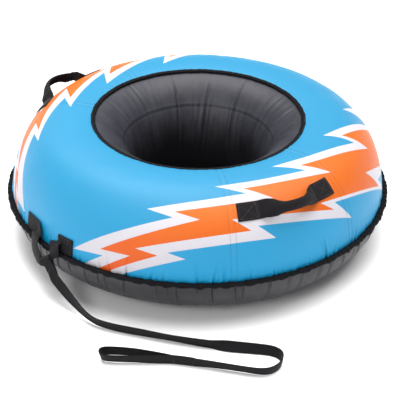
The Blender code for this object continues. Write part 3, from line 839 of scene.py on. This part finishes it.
def strip_points(inner, outer):
    """Points close to the strips' stitch lines, where the cover is pulled in."""
    for centre in STRIP_TURNS:
        away = radial(centre)[:2]
        side = np.array([-away[1], away[0]])
        for reach in np.arange(inner + 0.004, outer - 0.003, 0.006):
            true_radius = float(on_section(PRINT_LENGTH - reach)[0])
            for offset in (-10.7, -9.4, -8.2, -7.0, -5.7, 5.7, 7.0, 8.2, 9.4, 10.7):
                bend = offset * 0.001 / true_radius
                yield (away * math.cos(bend) + side * math.sin(bend)) * reach


def cloth_points(inner, outer):
    """Points all over the cover, closer together in the gathers at its edges."""
    near_band = outer - 0.062
    wide = np.arange(inner + 0.004, outer - 0.064, 0.0065)
    for reach in np.concatenate([wide, np.arange(outer - 0.060, outer, 0.0045)]):
        count = 1440 if reach > near_band else 540 if reach < inner + 0.02 else 400
        yield from flat_ring(reach, count, 0.5 * (round(reach * 1e4) % 2))


def flat_cover():
    """The cover laid flat: its points, its triangles, and the outline of each part of its print."""
    inner, outer = PRINT_LENGTH - RIM_LENGTH, PRINT_LENGTH - (BAND_LENGTH - 0.0012)
    rings = [flat_ring(inner, 540), flat_ring(outer, 1440)]
    shapes = []
    for mirror in (False, True):
        for slot, pair in ((1, (BOLT_UPPER, BOLT_LOWER)), (2, (FLAME_UPPER, FLAME_LOWER))):
            shapes.append((slot, [bolt_line(corners, mirror) for corners in pair]))
    lines = [line for _, pair in shapes for line in pair]
    nodes, edges = [], []
    for i, line in enumerate((*rings, *lines)):
        base = len(nodes)
        nodes += list(line)
        edges += [(base + k, base + k + 1) for k in range(len(line) - 1)]
        if i < len(rings):
            edges.append((len(nodes) - 1, base))
    near_edges = point_tree(nodes)
    strips = list(strip_points(inner, outer))
    cloth = clear_of(point_tree(strips), STRIP_CLEARANCE, cloth_points(inner, outer))
    nodes += clear_of(near_edges, EDGE_CLEARANCE, (*strips, *cloth))
    flat, _, faces, *_ = delaunay_2d_cdt([Vector(node) for node in nodes], edges, [], 0, 1e-7)
    flat, faces = np.array([tuple(point) for point in flat]), np.array([tuple(face) for face in faces])
    distance = np.hypot(*flat[faces].mean(1).T)
    faces = faces[(distance > inner * 0.9999) & (distance < outer)]
    used = np.unique(faces)
    outlines = [(slot, np.vstack([upper, lower[::-1]])) for slot, (upper, lower) in shapes]
    return flat[used], np.searchsorted(used, faces), outlines


def build_cover(blue, white, orange):
    """The printed top of the cover: one cloth, cut into triangles along the edges of its print."""
    flat, faces, outlines = flat_cover()
    turns = np.degrees(np.arctan2(flat[:, 1], flat[:, 0]))
    lengths = PRINT_LENGTH - np.hypot(*flat.T)
    points, normals = on_ring(turns, lengths)
    points = points + normals * cover_relief(turns, lengths)[:, None]
    mesh = bpy.data.meshes.new("printed_cover")
    mesh.from_pydata(points.tolist(), [], faces.tolist())
    slots = np.zeros(len(faces), int)
    for slot, outline in outlines:
        slots[inside(flat[faces].mean(1), outline) & (slots < 2)] = slot
    add_uv(mesh, flat)
    mesh.shade_smooth()
    cover = new_object("printed_cover", mesh, blue, white, orange)
    mesh.polygons.foreach_set("material_index", slots.astype(np.int32))
    mesh.update()
    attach(cover, "tube")
    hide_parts("top_cover")
    outwards = Vector(points[faces[0]].mean(0)) - Vector((0, 0, WIDEST_HEIGHT))
    if mesh.polygons[0].normal.dot(outwards) < 0:
        mesh.flip_normals()
    add_wall(cover, COVER_WALL)


def build_inner_tube(rubber):
    """The rubber tube, seen inside the hole: soft creases and a mould line."""
    coarse = np.linspace(-math.pi, 1.9, 26, endpoint=False)
    fine = np.linspace(1.9, math.pi, 50, endpoint=False)
    angles = np.concatenate([coarse, fine])
    radius, height = section(angles, TUBE_INSET, 0.0016)
    chance = random.Random(5)
    creases = [(turn, chance.uniform(0.6, 1.0), chance.uniform(-26, 26)) for turn in CREASE_TURNS]
    in_hole = (angles > 1.8) | (angles < -2.0)

    def profile(turns):
        dent = 0.0007 * gather(turns, 30, 80, 21) * np.sin(height * 42.0 + np.radians(turns) * 5)
        reach = bell((height - 0.28) / 0.085)
        for turn, depth, slant in creases:
            away = away_from(turns, turn + slant * (height - 0.25))
            dent -= 0.0042 * depth * reach * bell(away / 0.62)
            dent += 0.0013 * depth * reach * bell((np.abs(away) - 2.4) / 1.4)
        dent += 0.0017 * bell((height - MOULD_LINE) / 0.0022)
        dent -= 0.0013 * bell((height - MOULD_LINE + 0.005) / 0.0026)
        dent += 0.0008 * bell((height - 0.118) / 0.0016)
        return radius - dent * in_hole, height

    tube = new_object("inner_tube_rubber", ring_mesh("inner_tube_rubber", profile, 1080, True), rubber)
    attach(tube, "tube")
    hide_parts("inner_tube")


def build_base(vinyl):
    """The cover's underside, pulled into folds where it is gathered into the seam."""
    lengths = np.linspace(length_at_angle(0.0), length_at_angle(-math.pi / 2), 20)
    side_radius, side_height = on_section(lengths)
    radius = np.concatenate([[0.5553, 0.5437, 0.5440], side_radius, [0.33, 0.28, 0.22, 0.15, 0.08, 0.02]])
    height = np.concatenate([[0.1360, 0.1360, 0.1280], side_height, [0.0] * 6])
    down = height[0] - height
    loose = smooth_step(height, 0.003, 0.02) * (radius < 0.5552)

    def profile(turns):
        fold = 0.0010 * gather(turns, 60, 150, 31) * np.exp(-down / 0.018)
        fold += 0.0012 * gather(turns, 16, 45, 32) * np.exp(-down / 0.080)
        for turn, depth, reach, slant, width in BASE_FOLDS:
            away = away_from(turns, turn + slant * down * 14.0)
            fade = np.exp(-((down / reach) ** 4))
            fold += depth * fade * (bell(away / width) - 1.1 * bell((away - 1.7 * width) / width))
        slack = 0.0020 * (1.0 - np.exp(-down / 0.010))
        return radius + (fold - slack) * loose, height

    base = new_object("base_cover", ring_mesh("base_cover", profile, 2160, False), vinyl)
    close_middle(base)
    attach(base, "tube")
    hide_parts("bottom_cover")
    add_wall(base, BASE_WALL)


def close_middle(piece):
    """Closes the small hole on the axis."""
    shape = bmesh.new()
    shape.from_mesh(piece.data)
    open_edges = [e for e in shape.edges if e.is_boundary and e.verts[0].co.xy.length < 0.03]
    bmesh.ops.contextual_create(shape, geom=open_edges)
    bmesh.ops.recalc_face_normals(shape, faces=shape.faces)
    low = min(shape.faces, key=lambda face: face.calc_center_median().z)
    if low.normal.z > 0:
        bmesh.ops.reverse_faces(shape, faces=shape.faces)
    shape.to_mesh(piece.data)
    shape.free()


def band_waves(turns):
    return gather(turns, 38, 95, 41), gather(turns, 120, 210, 42)


def build_seam_band(tape, thread):
    """The gathered tape over the seam: a flat top lip and a skirt with a wavy hem."""
    outline = np.array(
        [
            (0.5440, 0.1410), (0.5500, 0.1417), (0.5566, 0.1416), (0.5588, 0.1405), (0.5595, 0.1385),
            (0.5591, 0.1366), (0.5586, 0.1348), (0.5578, 0.1332), (0.5567, 0.1319), (0.5557, 0.1313),
            (0.5543, 0.1315), (0.5546, 0.1325), (0.5549, 0.1337), (0.5551, 0.1347), (0.5480, 0.1351),
            (0.5380, 0.1350),
        ]
    )

    def profile(turns):
        radii, heights = outline.T
        hang = np.clip((0.1385 - heights) / 0.0075, 0.0, 1.0)
        outer = smooth_step(radii, 0.546, 0.556)
        upper = smooth_step(heights, 0.1385, 0.1415)
        coarse, fine = band_waves(turns)
        waved = outer * (0.0011 * coarse + 0.0007 * fine) + hang**1.5 * (0.0018 * coarse + 0.0014 * fine)
        raised = (outer * 0.0009 + upper * 0.0012) * fine + upper * 0.0010 * (1.0 + coarse)
        return radii + waved, heights + raised + hang * 0.0022 * gather(turns, 40, 110, 43)

    band = new_object("seam_band_tape", ring_mesh("seam_band_tape", profile, 1440, True), tape)
    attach(band, "tube")
    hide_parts("seam_band")
    runs = []
    turns = np.arange(0.0, 360.0, 0.5)
    for turn, coarse, fine in zip(turns, *band_waves(turns)):
        out = radial(turn)
        place = out * (0.5587 + 0.0013 * coarse + 0.0009 * fine) + (0, 0, 0.1352 + 0.0009 * fine)
        runs.append((place, (-out[1], out[0], 0.0), out))
    add_stitches("seam_band_stitches", runs, thread, "tube", "binding_tape", BINDING_STITCH)


def build_rim_binding(tape, thread):
    """The soft tape round the hole's edge."""
    (edge, after), _ = on_ring([0.0, 0.0], [RIM_LENGTH, RIM_LENGTH - 0.004])
    edge, after = edge[[0, 2]], after[[0, 2]]
    outward = unit(after - edge)
    normal = np.array([-outward[1], outward[0]])
    outline = np.array(
        [
            (-0.0082, 0.0000), (-0.0076, 0.0020), (-0.0055, 0.0031), (-0.0020, 0.0035), (0.0018, 0.0032),
            (0.0050, 0.0023), (0.0068, 0.0011), (0.0072, 0.0000), (0.0060, -0.0022), (0.0020, -0.0030),
            (-0.0030, -0.0030), (-0.0064, -0.0022),
        ]
    )

    def placed(across, up, turns):
        """Radii and heights of points on the tape, which swells and wanders a little round the hole."""
        swell = 0.86 + 0.07 * gather(turns, 60, 130, 51)
        across, up = across * swell + 0.0005 * gather(turns, 12, 40, 52), up * swell
        return edge[0] + outward[0] * across + normal[0] * up, edge[1] + outward[1] * across + normal[1] * up

    mesh = ring_mesh("rim_binding_tape", lambda turns: placed(*outline.T, turns), 900, True)
    binding = new_object("rim_binding_tape", mesh, tape)
    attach(binding, "tube")
    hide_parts("rim_binding")
    runs = []
    turns = np.arange(0.0, 360.0, 0.8)
    for turn, radius, height in zip(turns, *placed(0.0048, 0.0026, turns)):
        out = radial(turn)
        face = out * (normal[0] + 0.3 * outward[0]) + (0, 0, normal[1])
        runs.append((out * radius + (0, 0, height), (-out[1], out[0], 0.0), face))
    add_stitches("rim_stitches", runs, thread, "tube", "binding_tape", BINDING_STITCH)


def build_strip_stitches(thread):
    """The two rows of stitches that hold each reinforcement strip under the cover."""
    runs = []
    for centre in STRIP_TURNS:
        for length in np.arange(BAND_LENGTH + 0.004, RIM_LENGTH - 0.006, STITCH_PITCH):
            bend = math.degrees(STITCH_HALF / float(on_section(length)[0]))
            for turn in (centre - bend, centre + bend):
                lift = float(cover_relief([turn], [length])[0]) + 0.0002
                (place, ahead), (normal, _) = on_ring([turn, turn], [length, length + 0.002], lift)
                runs.append((place, ahead - place, normal))
    add_stitches("strip_stitches", runs, thread, "tube", "cover_nylon", *STRIP_STITCH)


def tab_rows(turns, length):
    """Rows of points across webbing that lies on the cover."""
    offsets = np.linspace(-WEBBING_WIDTH / 2, WEBBING_WIDTH / 2, 11)
    for turn in turns:
        where = (np.full(11, turn), length - offsets)
        points, normals = on_ring(*where)
        yield points + normals * (np.maximum(cover_relief(*where), 0.0)[:, None] + TAB_LIFT), normals


def tab_stitches(name, turns, length, thread):
    """A boxed cross of stitches on a sewn webbing end."""
    half = WEBBING_WIDTH / 2 - 0.005
    inset = math.copysign(TAB_STITCH_INSET, turns[1] - turns[0])
    a, b = turns[0] + inset, turns[1] - inset
    corners = [(a, -half), (b, -half), (b, half), (a, half)]
    lift = TAB_LIFT + WEBBING_THICKNESS / 2 + 0.0003
    runs = []
    for first, second in BOX_LINES:
        (t1, s1), (t2, s2) = corners[first], corners[second]
        count = max(1, int(math.hypot(math.radians(t2 - t1) * 0.5, s2 - s1) / STITCH_PITCH))
        for share in (np.arange(count) + 0.5) / count:
            turn, along = t1 + (t2 - t1) * share, length + s1 + (s2 - s1) * share
            ahead_turn, ahead = turn + (t2 - t1) * 0.02, along + (s2 - s1) * 0.02
            (place, further), (normal, _) = on_ring([turn, ahead_turn], [along, ahead], lift)
            runs.append((place, further - place, normal))
    add_stitches(name, runs, thread, "tube", "webbing")


def grip_places(turns, shares, side):
    """The middle line of a grip, which stands up from the cover and leans out, and the way it stands."""
    lean = math.radians(GRIP_LEANS[side])
    for turn, share in zip(turns, shares):
        rise = math.sin(math.pi * share)
        (point, below), (normal, _) = on_ring([turn, turn], [HANDLE_LENGTH, HANDLE_LENGTH - 0.004])
        down = square_to(unit(below - point), normal)
        tilt = lean * min(1.0, 1.6 * rise)
        stand = normal * math.cos(tilt) + down * math.sin(tilt)
        yield point + normal * TAB_LIFT * (1 - rise) + stand * GRIP_RISE * rise**0.85, stand


def build_handle(side, webbing, thread):
    """One length of webbing: sewn down at both ends and folded into a grip between them."""
    ends = HANDLE_TURN - HANDLE_HALF_SPAN, HANDLE_TURN + HANDLE_HALF_SPAN
    turns = np.array([ends[0], ends[0] + HANDLE_TAB_SPAN, ends[1] - HANDLE_TAB_SPAN, ends[1]])
    sign = 1.0
    if side == "left":
        turns, sign = 180.0 - turns, -1.0
    shares = np.linspace(0.0, 1.0, 56)
    grip_turns = turns[1] + (turns[2] - turns[1]) * shares
    places, stands = (np.array(values) for values in zip(*grip_places(grip_turns, shares, side)))
    tangents = unit(np.gradient(places, axis=0))
    rows = list(tab_rows(np.linspace(*turns[:2], 9), HANDLE_LENGTH))
    for share, place, stand, tangent, flat in zip(
        shares, places, stands, tangents, tab_rows(grip_turns, HANDLE_LENGTH)
    ):
        across = unit(np.cross(tangent, stand)) * sign
        normal = unit(np.cross(across, tangent))
        if normal @ stand < 0:
            normal = -normal
        fold = float(smooth_step(share, 0.06, 0.36) * (1 - smooth_step(share, 0.66, 0.95)))
        curl = 0.10 + math.radians(205.0) * fold
        crease = 0.0012 * math.sin(share * 95.0) * bell((share - 0.17) / 0.09)
        crease += 0.0009 * math.sin(share * 120.0) * bell((share - 0.86) / 0.06)
        middle, flatness = place + normal * crease, 1.0 - 0.45 * fold
        points, normals = curled(middle, across, normal, WEBBING_WIDTH, curl, flatness)
        if (flat[0][0] - flat[0][-1]) @ (points[0] - points[-1]) < 0:
            points, normals = points[::-1], normals[::-1]
        free = float(smooth_step(min(share, 1 - share), 0.0, 0.10))
        rows.append((flat[0] * (1 - free) + points * free, unit(flat[1] * (1 - free) + normals * free)))
    rows += list(tab_rows(np.linspace(*turns[2:], 9), HANDLE_LENGTH))[1:]
    name = f"{side}_handle_webbing"
    handle = new_object(name, strap_mesh(name, rows, WEBBING_THICKNESS), webbing)
    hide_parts(f"{side}_handle_grip", f"{side}_handle_front_tab", f"{side}_handle_rear_tab")
    (one_end, other_end, _), (_, _, normal) = on_ring([*turns[1:3], turns[1:3].mean()], [HANDLE_LENGTH] * 3)
    chord = (one_end + other_end) / 2
    low, high = tuple(chord + normal * 0.0045), tuple(chord + normal * 0.0200)
    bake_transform(handle)
    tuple(low)
    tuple(high)
    for label, pair in (("front", turns[:2]), ("rear", turns[2:])):
        tab_stitches(f"{side}_handle_{label}_stitches", pair, HANDLE_LENGTH, thread)


def build_tow_loop(webbing, thread):
    """The front loop: webbing sewn down at both ends, whose middle hangs over the seam."""
    first, second = TOW_TAB_TURNS
    eye, reach = np.array(EYE_CENTRE), np.array(EYE_AXIS) * 0.018

    def polar(turn, radius, height):
        return radial(turn) * radius + (0.0, 0.0, height)

    (left_end, right_end), _ = on_ring([first[1], second[0]], [TOW_LENGTH, TOW_LENGTH], TAB_LIFT)
    route = [
        left_end,
        polar(-98.6, 0.5515, 0.1640),
        polar(-98.1, 0.5625, 0.1500),
        polar(-96.3, 0.5765, 0.1310),
        eye - reach * 1.4,
        eye - reach,
        eye,
        eye + reach,
        polar(-89.0, 0.5672, 0.1480),
        polar(-89.9, 0.5540, 0.1615),
        right_end,
    ]
    path = smooth_path(route, 0.0024)
    rows = list(tab_rows(np.linspace(*first, 9), TOW_LENGTH))
    previous = rows[-1][0][-1] - rows[-1][0][0]
    for i, (place, tangent) in enumerate(zip(path, unit(np.gradient(path, axis=0)))):
        outward = unit(place * (1.0, 1.0, 0.0))
        across = unit(np.cross(tangent, outward))
        if across @ previous < 0:
            across = -across
        previous = across
        normal = unit(np.cross(across, tangent))
        if normal @ outward < 0:
            normal = -normal
        bunch = 1.0 - float(smooth_step(float(np.linalg.norm(place - eye)), 0.015, 0.034))
        share = i / (len(path) - 1)
        ends = float(smooth_step(min(share, 1 - share), 0.0, 0.16))
        width = WEBBING_WIDTH * (1.0 - 0.08 * ends) * (1 - bunch) + 0.030 * bunch
        curl = 0.15 + 0.55 * ends * (1 - bunch) + 4.4 * bunch
        rows.append(curled(place, across, normal, width, curl, 0.9 - 0.1 * bunch))
    tail = list(tab_rows(np.linspace(*second, 9), TOW_LENGTH))
    if (tail[0][0][-1] - tail[0][0][0]) @ previous < 0:
        tail = [(points[::-1], normals[::-1]) for points, normals in tail]
    rows += tail[1:]
    loop = new_object("tow_loop_webbing", strap_mesh("tow_loop_webbing", rows, WEBBING_THICKNESS), webbing)
    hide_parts("tow_loop", "tow_loop_left_tab", "tow_loop_right_tab")
    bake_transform(loop)
    for label, turns in (("left", first), ("right", second)):
        tab_stitches(f"tow_{label}_stitches", turns, TOW_LENGTH, thread)
    build_strap_eye(webbing, thread)


def build_strap_eye(webbing, thread):
    """The strap's near end, folded round the tow loop and sewn back on itself."""
    along = (EYE_AXIS - EYE_DOWN * EYE_AXIS.dot(EYE_DOWN)).normalized()
    side = np.array((-EYE_DOWN).cross(along).normalized())
    up, across, centre = -np.array(EYE_DOWN), np.array(along), np.array(EYE_CENTRE)
    radius, half = 0.0093, 0.0014
    leg = [(half, -EYE_STEM), (half, -0.026), (half + 0.0006, -0.020), (half + 0.0028, -0.0135)]
    arc = [(radius * math.cos(a), radius * math.sin(a)) for a in np.radians(np.linspace(230.0, -50.0, 29))]
    flat = [*((-x, y) for x, y in leg), *arc, *leg[::-1]]
    path = smooth_path([centre + side * x + up * y for x, y in flat], 0.0022)
    offsets = np.linspace(-STRAP_WIDTH / 2, STRAP_WIDTH / 2, 7)[:, None]
    rows = []
    for place, tangent in zip(path, unit(np.gradient(path, axis=0))):
        normal = unit(np.cross(across, tangent))
        rows.append((place + offsets * across, np.repeat(normal[None, :], 7, 0)))
    eye = new_object("strap_eye_webbing", strap_mesh("strap_eye_webbing", rows, 0.0023), webbing)
    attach(eye, "tow_loop")
    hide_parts("strap_eye")
    runs = []
    for face in (side, -side):
        origin = centre + face * (half + 0.0014)
        sewn = ((-0.011, -0.020), (0.011, -0.020), (0.011, -0.033), (-0.011, -0.033))
        runs += box_stitches([origin + up * y + across * x for x, y in sewn], face)
    add_stitches("strap_eye_stitches", runs, thread, "tow_loop", "webbing")


def dress_frame_parts(rubber, webbing):
    """Better materials for the CAD pieces that keep their shape."""
    brass = hard_material("valve_brass", (0.62, 0.42, 0.17), 0.32, 1.0)
    steel = hard_material("valve_steel", (0.50, 0.50, 0.52), 0.30, 1.0)
    plastic = hard_material("cap_plastic_black", (0.016, 0.016, 0.017), 0.38, 0.0)
    looks = {"valve_base": rubber, "valve_spring": steel, "valve_cap": plastic}
    looks.update({name: brass for name in ("valve_stem", "valve_core", "valve_pin")})
    looks.update({f"reinforcement_strip_{i}": webbing for i in range(1, 5)})
    for name, material in looks.items():
        for material_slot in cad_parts[name].material_slots:
            material_slot.material = material


def main():
    build_camera()
    build_studio()
    webbing = webbing_material("black_webbing", (0.0040, 0.0032, 0.0040))
    tape = tape_material("binding", (0.0026, 0.0025, 0.0033))
    rubber = rubber_material("tube_rubber", (0.0050, 0.0048, 0.0062), (0.034, 0.034, 0.046))
    dark, light = (0.014, 0.013, 0.016), (0.038, 0.035, 0.043)
    vinyl = vinyl_material("base_vinyl_black", (0.030, 0.029, 0.033), dark, light)
    # Painted light and shade: each nylon's second colour is painted on its lower sides, and the white is
    # darker there
    blue = nylon("nylon_blue", BLUE, PAINTED_LOW_BLUE)
    white = nylon("nylon_white", WHITE, shade(WHITE, 0.93))
    orange = nylon("nylon_orange", ORANGE, PAINTED_LOW_ORANGE)
    black_thread = thread_material("black_thread", (0.0042, 0.0036, 0.0042))
    navy_thread = thread_material("navy_thread", (0.004, 0.020, 0.040))
    build_strap(webbing, black_thread)
    build_inner_tube(rubber)
    build_base(vinyl)
    build_cover(blue, white, orange)
    build_seam_band(tape, black_thread)
    build_rim_binding(tape, black_thread)
    build_strip_stitches(navy_thread)
    for side in ("right", "left"):
        build_handle(side, webbing, black_thread)
    build_tow_loop(webbing, black_thread)
    dress_frame_parts(rubber, webbing)


main()
